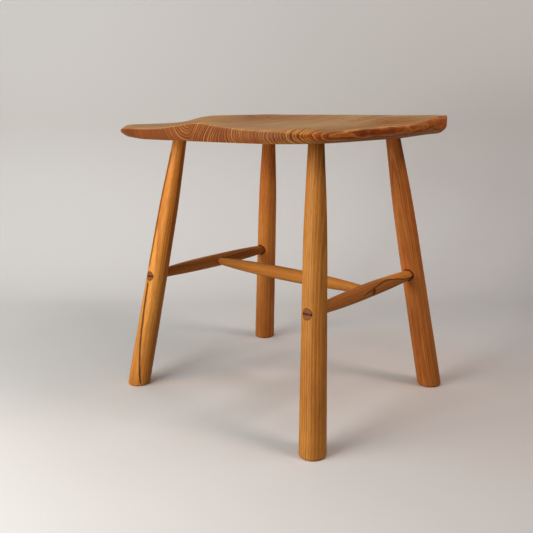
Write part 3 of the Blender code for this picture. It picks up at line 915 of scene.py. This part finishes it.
def wandering_grain(net, look):
    """The place, swung about by slow noise and pushed round the knot."""
    def swing(stretch, reach):
        swirl = net.noise(net.seeded, stretch, output='Color')
        return net.vec('SCALE', net.vec('SUBTRACT', swirl, (0.5, 0.5, 0.5)),
                       scale=look.warp * reach)
    grain = net.vec('ADD', net.place, net.vec(
        'ADD', swing(stretch=(0.020, 0.020, 0.0065), reach=6.0),
        swing(stretch=(0.11, 0.11, 0.022), reach=1.1)))
    if look.knot:
        arm = net.vec('SUBTRACT', net.place, look.knot["centre"])
        distance = net.vec('LENGTH', net.vec('MULTIPLY', arm, (1, 0.35, 0.55)))
        square = net.math('POWER', net.math('DIVIDE', distance, look.knot["radius"]), 2.0)
        push = net.mul(net.math('POWER', 2.718, net.mul(square, -1.0)), look.knot["push"])
        arm = net.vec('SUBTRACT', net.place, look.knot["centre"])
        direction = net.vec('NORMALIZE', net.vec('MULTIPLY', arm, (1, 0.4, 0.0)))
        grain = net.vec('SUBTRACT', grain, net.vec('SCALE', direction, scale=push))
    return grain


def ring_fraction(net, look, grain):
    """Place within a year ring, 0 to 1."""
    if look.field:
        distance = look.field(net, grain)
    else:
        arm = net.vec('SUBTRACT', grain, (*look.pith, 0.0))
        distance = net.vec('LENGTH', net.vec('MULTIPLY', arm, (1.0, 1.0, 0.0)))
    combine = net.node('ShaderNodeCombineXYZ')
    net.put(combine.inputs[0], distance)
    combine.inputs[1].default_value = look.seed * 5.0
    year = net.noise(combine.outputs[0], scale=0.16, rough=0.6)
    phase = net.math('ADD', net.math('DIVIDE', distance, look.spacing), net.mul(year, 2.4))
    return net.math('FRACT', phase)


def upness(net, to=(0.0, 1.0)):
    return net.smooth(net.dot(net.normal, (0, 0, 1)), span=(0.72, 0.96), to=to)


def sideways(net):
    return net.math('ABSOLUTE', net.dot(net.normal, net.across))


def ring_colour(net, look, fraction):
    # one ring: pale early wood -> body -> darker late wood
    ring = net.ramp(fraction, (
        (0.0, look.dark), (0.04, look.line), (look.line_w, look.line),
        (look.line_w + 0.14, look.base), (0.62, look.base), (0.90, look.dark), (1.0, look.dark)))
    plain = net.mix(net.noise(net.seeded, (0.05, 0.05, 0.012), detail=3.0, rough=0.55),
                    look.base, look.dark)
    strength = net.remap(net.noise(net.seeded, (0.035, 0.035, 0.008)),
                         span=(0.30, 0.68), to=(0.35, 1.0))
    # the painted sheen on upward faces also washes out their rings
    if look.worn:
        strength = net.mul(strength, upness(net, to=(1.0, 0.62)))
    if look.side_col:
        strength = net.mul(strength, net.smooth(sideways(net), span=(0.55, 0.92), to=(1.0, 0.58)))
    if look.line_fade:
        strength = net.mul(strength, net.smooth(net.split(net.place)[0], **look.line_fade))
    colour = net.mix(net.mul(strength, look.line_k), plain, ring)
    # broad colour drift
    drift = net.noise(net.seeded, (0.016, 0.016, 0.0050), detail=3.0, rough=0.6)
    colour = net.mix(net.remap(drift, span=(0.45, 0.75), to=(0.0, look.tint)),
                     colour, look.light)
    return net.mix(net.remap(drift, span=(0.50, 0.25), to=(0.0, look.tint * 0.8)),
                   colour, look.dark)


def fibres_and_pores(net, look, colour):
    fibre = net.noise(net.seeded, (1.6, 1.6, 0.035), detail=3.0, rough=0.65)
    shade = tuple(1 - part * look.fibre_k for part in (0.20, 0.23, 0.26))
    shine = tuple(1 + part * look.fibre_k for part in (0.13, 0.11, 0.08))
    colour = net.mix(1.0, colour, net.ramp(
        fibre, ((0.25, shade), (0.5, (1, 1, 1)), (0.78, shine))), 'MULTIPLY')
    pore = net.remap(net.noise(net.seeded, (3.4, 3.4, 0.13), detail=1.0),
                     span=(0.64, 0.74), to=(0.0, 0.42))
    return net.mix(pore, colour, tuple(part * 0.35 for part in look.dark)), fibre, pore


def side_faces(net, look, colour, endways):
    """Tint and mottle the faces across the grain, and paint light, a cool sheen and shade on their
    rear end.
    """
    mask = net.smooth(sideways(net), span=(0.35, 0.85))
    colour = net.tint(mask, colour, look.side_col)
    _, y, z = net.split(net.place)
    mottle = net.noise(net.seeded, (0.12, 0.24, 0.080), detail=4.0, rough=0.65)
    flank = net.smooth(endways, span=(0.42, 0.80), to=(1.0, 0.0))     # not on the turn of a corner
    # painted light: the side faces brighten towards the rear, where little light reaches them
    rise = net.mul(net.smooth(z, span=(60.0, 145.0), to=(0.0, look.side_rise)), flank)
    gain = net.mul(net.remap(mottle, span=(0.34, 0.66), to=(0.74, 1.30)),
                   net.math('ADD', rise, 1.0))
    colour = net.mix(mask, colour, net.vec('SCALE', colour, scale=gain))
    if look.rear_col:
        # painted cool sheen on the rear end of the side faces
        colour = net.tint(net.mul(mask, net.smooth(z, span=(60.0, 145.0))), colour, look.rear_col)
        # painted shade on the top of the side faces at the rear corner, where the glancing light is
        # too bright
        rim = net.mul(net.smooth(y, span=(5.0, -4.0)), net.smooth(z, span=(106.0, 130.0)))
        colour = net.tint(net.mul(mask, rim), colour, (0.72, 0.71, 0.98))
    return colour


def streak(net, colour, points, width, dark, amount, facing=0, pale=None):
    """Thin dark layer, its x given by points as a curve of z.

    facing keeps it to one side in y; pale tints the wood on its +x side.
    """
    curve_length, curve_half = 420.0, 25.0          # z and x covered by the curve node
    first, last = points[0][0], points[-1][0]
    x, y, z = net.split(net.place)
    node = net.node('ShaderNodeFloatCurve')
    net.put(node.inputs['Value'], net.math('DIVIDE', z, curve_length))
    curve = node.mapping.curves[0]
    spots = [(along / curve_length, (across + curve_half) / (2 * curve_half))
             for along, across in points]
    curve.points[0].location, curve.points[1].location = spots[0], spots[-1]
    for spot in spots[1:-1]:
        curve.points.new(*spot)
    node.mapping.update()
    middle = net.math('SUBTRACT', net.mul(node.outputs[0], 2 * curve_half), curve_half)
    wobble = net.mul(net.math('SUBTRACT', net.noise(net.seeded, (0.02, 0.02, 0.05)), 0.5), 1.6)
    place = net.math('ADD', net.math('SUBTRACT', x, middle), wobble)
    thin = net.noise(net.seeded, (0.05, 0.05, 0.06), detail=1.0)
    half = net.mul(net.math('ADD', thin, 0.5), width)
    if pale:
        beside = net.mul(net.smooth(place, span=(0.0, 1.6)),
                         net.smooth(z, span=(points[2][0], points[4][0])))
        beside = net.mul(beside, net.smooth(z, span=(last, last + 14), to=(1, 0)))
        colour = net.tint(beside, colour, pale)
    mask = net.math('SUBTRACT', 1.0, net.math('DIVIDE', net.math('ABSOLUTE', place), half),
                    clamp=True)
    mask = net.math('POWER', mask, 0.6)
    mask = net.mul(mask, net.smooth(z, span=(first, first + 10)))
    mask = net.mul(mask, net.smooth(z, span=(last - 10, last), to=(1, 0)))
    if facing:
        mask = net.mul(mask, net.smooth(net.mul(y, facing), span=(-2.0, 2.0)))
    return net.mix(net.mul(mask, amount), colour, dark)


def wood(name, **settings):
    """Solid wood.  The rings are round a pith axis, so end grain, quarter grain and
    the cathedral figure on carved faces all come from the same solid pattern."""
    look = SimpleNamespace(**{**WOOD_DEFAULTS, **settings})
    net = Net(name)
    grain_space(net, look)
    grain = wandering_grain(net, look)
    fraction = ring_fraction(net, look, grain)
    net.normal = net.node('ShaderNodeNewGeometry').outputs['Normal']
    colour = ring_colour(net, look, fraction)
    colour, fibre, pore = fibres_and_pores(net, look, colour)
    # end grain drinks more oil: darker where the surface faces along the grain
    endways = net.math('ABSOLUTE', net.dot(net.normal, net.along))
    end_grain = net.smooth(endways, span=(0.45, 0.95))
    colour = net.tint(net.mul(end_grain, look.end_dark), colour, look.end_col)
    if look.side_col:
        colour = side_faces(net, look, colour, endways)
    # painted sheen: upward faces turn pale and cool, standing in for the grazing reflection of the
    # pale room
    if look.worn:
        worn = upness(net)
        if look.worn_fade:
            worn = net.mul(worn, net.smooth(net.split(net.place)[2], **look.worn_fade))
        colour = net.tint(worn, colour, look.worn)
    for x, z, half_x, half_z, amount in look.spots:
        arm = net.vec('MULTIPLY', net.vec('SUBTRACT', grain, (x, 0.0, z)),
                      (1.0 / half_x, 0.0, 1.0 / half_z))
        mask = net.smooth(net.vec('LENGTH', arm), span=(0.35, 1.0), to=(1.0, 0.0))
        colour = net.tint(net.mul(mask, amount), colour, (0.30, 0.20, 0.14))
    # painted light: brightness ramp along z
    if look.tone:
        colour = net.vec('SCALE', colour,
                         scale=net.smooth(net.split(net.place)[2], **look.tone))
    for layer in look.streaks:
        colour = streak(net, colour, **layer)
    shader = net.node('ShaderNodeBsdfPrincipled')
    net.put(shader.inputs['Base Color'], colour)
    rough = net.math('ADD', look.rough - 0.05, net.mul(fibre, 0.10))
    net.put(shader.inputs['Roughness'], net.math('ADD', rough, net.mul(end_grain, 0.08)))
    shader.inputs['Specular IOR Level'].default_value = look.spec
    shader.inputs['IOR'].default_value = 1.47
    bump = net.node('ShaderNodeBump')
    bump.inputs['Strength'].default_value = 0.35
    bump.inputs['Distance'].default_value = 0.00016
    # fibres and rings stand up, pores sink
    height = net.math('ADD', net.mul(fibre, 0.8), net.mul(fraction, 0.35))
    net.put(bump.inputs['Height'], net.math('SUBTRACT', height, net.mul(pore, 1.2)))
    net.put(shader.inputs['Normal'], bump.outputs[0])
    output = net.node('ShaderNodeOutputMaterial')
    net.tree.links.new(shader.outputs[0], output.inputs[0])
    return net.material


def right_rings(net, grain):
    """Rings of the right board: leaning by the joint, then bowed towards the joint, from a
    heart that wanders off to the right."""
    x, y, _ = net.split(grain)
    z = net.math('ADD', net.mul(y, -1.0), 3.0)
    lean = net.smooth(x, span=(40.0, 88.0), to=(0.70, 0.0))
    bow = net.mul(net.smooth(x, span=(40.0, 95.0)),
                  net.smooth(x, span=(120.0, 200.0), to=(0.034, 0.016)))
    distance = net.math('SUBTRACT', x, net.mul(lean, z))
    distance = net.math('SUBTRACT', distance, net.mul(bow, net.mul(z, z)))
    # curly figure where the board runs out to its side
    curl = net.noise(grain, (0.030, 0.075, 0.024), detail=2.5, rough=0.55)
    distance = net.math('ADD', distance, net.mul(
        net.math('SUBTRACT', curl, 0.5), net.smooth(x, span=(150.0, 204.0), to=(0.0, 10.0))))
    return net.math('ADD', distance, 400.0)


def set_material(obj, material):
    obj.data.materials.clear()
    obj.data.materials.append(material)


# ------------------------------------------------------------------ wood of each piece
SEAT_WOOD = dict(
    origin=(0, 0, 0.434), along=(0.0, 1, 0.0), across=(1, 0, 0),
    base=(0.470, 0.180, 0.034), dark=(0.255, 0.082, 0.015),
    light=(0.620, 0.310, 0.085), line=(0.940, 0.620, 0.200),
    line_w=0.17, line_k=1.0, warp=1.35, rough=0.47, end_dark=0.8, spec=0.40)
SEAT_SIDES = {
    "left": dict(
        pith=(3.0, -21.0), spacing=4.5, seed=1.0,
        line_fade=dict(span=(-46.0, -26.0), to=(0.30, 1.0)),
        # painted sheen on the upward faces, weaker towards the rear
        worn=(1.10, 1.40, 2.05), worn_fade=dict(span=(10.0, 100.0), to=(1.0, 0.35)),
        side_col=(1.12, 0.84, 0.62),
        spots=((-158.0, 84.0, 8.0, 15.0, 0.55), (-120.0, 66.0, 5.0, 12.0, 0.4))),
    "right": dict(
        # painted sheen on the upward faces
        field=right_rings, spacing=4.4, seed=2.0, worn=(1.03, 1.26, 1.75),
        # painted light and a painted cool sheen on the side faces' rear end
        side_col=(1.14, 0.82, 0.60), side_rise=0.62, rear_col=(1.00, 1.22, 1.80),
        spots=((26.0, 112.0, 4.0, 8.0, 0.6), (60.0, 95.0, 5.0, 9.0, 0.35)),
        knot=dict(centre=(60.0, 0.0, 95.0), radius=22.0, push=14.0)),
}
LEG_COLOURS = dict(base=(0.575, 0.278, 0.060), dark=(0.400, 0.160, 0.030),
                   light=(0.680, 0.370, 0.088), line=(0.390, 0.150, 0.025))
# factor on the leg colours, painted light towards the top where the seat shades the legs, pith
LEG_TONE = {"front_left": ((1.22, 1.19, 1.22), 1.20, (26, 34)),
            "front_right": ((1.0, 0.98, 1.02), 1.0, (-38, 22)),
            "rear_left": ((1.08, 0.94, 1.04), 1.36, (30, -30)),
            "rear_right": ((1.12, 0.94, 1.10), 1.12, (-24, -36))}
LEG_STREAKS = {"front_left": (
    dict(points=((0, 6.5), (6, 4.6), (25, 0.3), (55, -4.6), (89, -8.0), (133, -10.2),
                 (176, -11.4), (187, -11.6)),
         width=2.0, dark=(0.090, 0.028, 0.009), amount=1.0),
    dict(points=((203, -14.2), (250, -13.8), (300, -13.2), (335, -12.2), (370, -10.5),
                 (405, -8.9)),
         width=2.1, dark=(0.150, 0.055, 0.020), amount=0.85))}
RAIL_PITH = {"left": (24, 20), "right": (-22, 26)}
RAIL_STREAKS = {"right": (
    dict(points=((104, -1.5), (125, 2.6), (150, 6.0), (180, 8.0), (205, 5.4), (230, 0.6),
                 (250, -2.0), (268, -3.0)),
         width=1.1, dark=(0.100, 0.036, 0.014), amount=0.9, facing=1.0,
         pale=(1.45, 1.62, 1.55)),)}

seat_materials = {side: wood("seat_wood_" + side, **SEAT_WOOD, **SEAT_SIDES[side])
                  for side in seats}
for side in seats:
    set_material(seats[side], seat_materials[side])

for k, leg in enumerate(LEG_NAMES):
    factors, top_painted_light, pith = LEG_TONE[leg]
    colours = {key: tuple(part * factor for part, factor in zip(colour, factors))
               for key, colour in LEG_COLOURS.items()}
    set_material(legs[leg], wood(
        "leg_wood_" + leg, origin=(*FOOT[leg], 0), along=leg_axis(leg), across=(0.75, 0.66, 0),
        pith=pith, spacing=3.6, **colours, line_w=0.22, line_k=0.85, warp=1.0,
        seed=3.0 + k * 1.7, rough=0.52, tint=0.55, fibre_k=1.6, end_dark=0.3,
        # painted sheen on the upward tenon ends
        end_col=(0.62, 0.56, 0.62), streaks=LEG_STREAKS.get(leg, ()), worn=(0.84, 0.92, 1.30),
        # painted light: the legs brighten towards the top, where the seat shades them
        tone=dict(span=(90.0, 340.0), to=(1.0, top_painted_light))))

for k, (side, rail) in enumerate(rails.items()):
    set_material(rail.obj, wood(
        "side_stretcher_wood_" + side, origin=rail.start, along=rail.along, across=(0, 0, 1),
        pith=RAIL_PITH[side], spacing=3.2, base=(0.600, 0.248, 0.058), dark=(0.425, 0.152, 0.033),
        light=(0.72, 0.35, 0.092), line=(0.385, 0.130, 0.028), line_w=0.22, line_k=0.55,
        warp=0.9, seed=11.0 + 2.3 * k, rough=0.50, end_dark=0.85,
        streaks=RAIL_STREAKS.get(side, ()), end_col=(0.50, 0.46, 0.62)))

set_material(cross, wood(
    "centre_stretcher_wood", origin=cross_start, along=cross_end - cross_start, across=(0, 0, 1),
    pith=(22, -20), spacing=3.2, base=(0.565, 0.258, 0.053), dark=(0.410, 0.160, 0.029),
    light=(0.68, 0.35, 0.083), line=(0.380, 0.138, 0.024), line_w=0.22, line_k=0.5,
    warp=0.8, seed=17.0, rough=0.50, end_dark=0.75))

for k, (node, wedge) in enumerate(wedges.items()):
    verts = wedge.data.vertices
    middle = sum((vert.co for vert in verts), Vector()) / len(verts) - Vector(OFFSET)
    set_material(wedge, wood(
        "wedge_wood_%02d" % k, origin=middle,
        along=(0.1, 0.2, 1) if "seat" in node else (1, 0.3, 0.1), across=(0.9, -0.2, 0.1),
        pith=(9, 12), spacing=1.6, base=(0.095, 0.034, 0.018), dark=(0.055, 0.020, 0.012),
        light=(0.150, 0.058, 0.028), line=(0.070, 0.025, 0.014), line_k=0.6, warp=0.4,
        seed=20.0 + k, rough=0.42, end_dark=0.3))


# ------------------------------------------------------------------ ride, replace
def attach(piece, node):
    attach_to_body(piece, "root")
    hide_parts(node)


for side in seats:
    attach(seats[side], "seat_board_" + side)
for leg in legs:
    attach(legs[leg], "leg_" + leg)
for side in rails:
    attach(rails[side].obj, "side_stretcher_" + side)
attach(cross, "centre_stretcher")
for node, wedge in wedges.items():
    attach(wedge, node)

# ------------------------------------------------------------------ camera
PITCH, ROLL, AZIMUTH = math.radians(13.0245), math.radians(-0.4155), math.radians(41.7149)
CAMERA = Vector((0.730365345 + OFFSET[0], -0.874169865 + OFFSET[1], 0.4671))
# level directions away from the camera and to its right
AHEAD = Vector((-math.sin(AZIMUTH), math.cos(AZIMUTH), 0))
RIGHT = Vector((math.cos(AZIMUTH), math.sin(AZIMUTH), 0))


def make_camera():
    forward = Vector((-math.sin(AZIMUTH) * math.cos(PITCH), math.cos(AZIMUTH) * math.cos(PITCH),
                      -math.sin(PITCH)))
    level_up = RIGHT.cross(forward)
    right = RIGHT * math.cos(ROLL) + level_up * math.sin(ROLL)
    upward = level_up * math.cos(ROLL) - RIGHT * math.sin(ROLL)
    data = bpy.data.cameras.new("cam")
    camera = link("cam", data)
    data.sensor_fit = 'HORIZONTAL'
    data.sensor_width = 36.0
    data.lens = 47.160675
    data.clip_start = 0.01
    data.clip_end = 50
    matrix = Matrix.Identity(4)
    for i in range(3):
        matrix[i][0], matrix[i][1] = right[i], upward[i]
        matrix[i][2], matrix[i][3] = -forward[i], CAMERA[i]
    camera.matrix_world = matrix
    bpy.context.scene.camera = camera


# ------------------------------------------------------------------ stage
def paper_material():
    net = Net("paper")
    shader = net.node('ShaderNodeBsdfPrincipled')
    shader.inputs["Roughness"].default_value = 0.75
    shader.inputs["Specular IOR Level"].default_value = 0.2
    # the room past the paper is dim, so bounced light is weaker than the paper itself looks
    bounced = net.node('ShaderNodeLightPath').outputs['Is Diffuse Ray']
    colour = net.mix(bounced, (0.74, 0.72, 0.70), (0.42, 0.385, 0.35))
    grain = net.node('ShaderNodeTexNoise')
    grain.inputs['Scale'].default_value = 900.0
    bump = net.node('ShaderNodeBump')
    bump.inputs['Strength'].default_value = 0.06
    bump.inputs['Distance'].default_value = 0.0004
    net.put(bump.inputs['Height'], grain.outputs['Fac'])
    net.put(shader.inputs['Normal'], bump.outputs[0])
    net.put(shader.inputs['Base Color'], colour)
    # from behind or below the paper is clear, so the stool can be looked at from every side
    choose = net.node('ShaderNodeMixShader')
    net.put(choose.inputs[0], net.node('ShaderNodeNewGeometry').outputs['Backfacing'])
    net.put(choose.inputs[1], shader.outputs[0])
    net.put(choose.inputs[2], net.node('ShaderNodeBsdfTransparent').outputs[0])
    net.put(net.node('ShaderNodeOutputMaterial').inputs[0], choose.outputs[0])
    return net.material


def make_backdrop():
    """Seamless paper: floor, sweep and wall, square to the camera."""
    sweep_start, sweep_r = 1.62, 0.42
    profile = [(-4.0, 0.0), (0.0, 0.0), (1.2, 0.0), (sweep_start, 0.0)]     # ahead, up
    for i in range(1, 25):
        t = i / 24 * math.pi / 2
        profile.append((sweep_start + sweep_r * math.sin(t), sweep_r * (1 - math.cos(t))))
    profile.append((sweep_start + sweep_r, 4.0))
    mesh = bmesh.new()
    columns = [[mesh.verts.new(Vector((CAMERA.x, CAMERA.y, 0)) + AHEAD * ahead
                               + RIGHT * float(across) + Vector((0, 0, z - 0.00005)))
                for ahead, z in profile] for across in np.linspace(-5, 5, 21)]
    for one, two in zip(columns, columns[1:]):
        for i in range(len(profile) - 1):
            mesh.faces.new((one[i], two[i], two[i + 1], one[i + 1]))
    bmesh.ops.recalc_face_normals(mesh, faces=mesh.faces[:])
    backdrop = mesh_object("backdrop", mesh)
    if backdrop.data.polygons[0].normal.z < 0:
        backdrop.data.flip_normals()
    for polygon in backdrop.data.polygons:
        polygon.use_smooth = True
    backdrop.data.materials.append(paper_material())


def make_dark_card():
    """Card just out of view on the right; keeps the right-hand sides of the legs deep."""
    near, far = [CAMERA + AHEAD * ahead + RIGHT * across
                 for ahead, across in ((0.35, 0.66), (1.9, 0.86))]
    low, high = 0.02, 0.44
    mesh = bmesh.new()
    mesh.faces.new([mesh.verts.new((end.x, end.y, z))
                    for end, z in ((near, low), (far, low), (far, high), (near, high))])
    card = mesh_object("dark_card", mesh)
    card.visible_camera = False
    card.visible_shadow = False
    material = bpy.data.materials.new("dark_card")
    material.use_nodes = True
    inputs = material.node_tree.nodes["Principled BSDF"].inputs
    inputs["Base Color"].default_value = (0.07, 0.06, 0.05, 1)
    inputs["Specular IOR Level"].default_value = 0.0
    card.data.materials.append(material)


def area(name, place, target, size, watts, colour):
    data = bpy.data.lights.new(name, 'AREA')
    data.shape = 'SQUARE'
    data.size = size
    data.energy = watts
    data.color = colour
    light = link(name, data)
    light.location = place
    light.rotation_mode = 'QUATERNION'
    light.rotation_quaternion = (Vector(target) - Vector(place)).to_track_quat('-Z', 'Y')


# name, place, height aimed at over the origin, size, watts, colour
STOOL_LIGHTS = (
    ("key", (-0.05, -1.45, 0.55), 0.2, 0.5, 10.2, (0.95, 1.0, 1.03)),
    ("key_mid", (-0.40, -1.40, 1.00), 0.2, 0.5, 4.6, (0.98, 1.0, 1.02)),
    ("key_left", (-0.75, -1.35, 1.00), 0.2, 0.5, 4.6, (1.22, 0.98, 0.72)),
    ("side", (1.50, 0.40, 2.00), 0.2, 0.6, 13.2, (1.14, 0.96, 0.92)),
    ("left", (-1.20, 0.20, 1.80), 0.1, 0.9, 5.6, (1.18, 0.96, 0.87)),
)
# name, distance to the camera's right, watts, colour
WALL_LIGHTS = (("wall_left", -1.1, 3.3, (0.14, 1.02, 1.60)),
               ("wall_right", 1.1, 3.5, (0.88, 1.04, 1.12)))


def make_lights():
    for name, place, aim, size, watts, colour in STOOL_LIGHTS:
        area(name, place, (0.0, 0.0, aim), size, watts, colour)
    for name, across, watts, colour in WALL_LIGHTS:
        place = CAMERA + AHEAD * 1.2 + RIGHT * across
        target = CAMERA + AHEAD * 2.0 + RIGHT * across * 0.8
        area(name, (place.x, place.y, 2.2), (target.x, target.y, 0.7), 0.6, watts, colour)


def make_world():
    """The camera sees a pale room past the paper's edge, the light stays dim."""
    world = bpy.data.worlds.new("world")
    bpy.context.scene.world = world
    world.use_nodes = True
    nodes, links = world.node_tree.nodes, world.node_tree.links
    dim = nodes["Background"]
    dim.inputs[0].default_value = (1.0, 0.978, 0.949, 1)
    dim.inputs[1].default_value = 0.372
    path = nodes.new('ShaderNodeLightPath')
    pale = nodes.new('ShaderNodeBackground')
    pale.inputs[0].default_value = (0.62, 0.60, 0.58, 1)
    pale.inputs[1].default_value = 1.0
    choose = nodes.new('ShaderNodeMixShader')
    links.new(path.outputs['Is Camera Ray'], choose.inputs[0])
    links.new(dim.outputs[0], choose.inputs[1])
    links.new(pale.outputs[0], choose.inputs[2])
    links.new(choose.outputs[0], nodes["World Output"].inputs[0])


make_camera()
make_backdrop()
make_lights()
make_dark_card()
make_world()
view = bpy.context.scene.view_settings
view.view_transform = 'Standard'
view.exposure = 0.0
view.gamma = 1 / 1.25
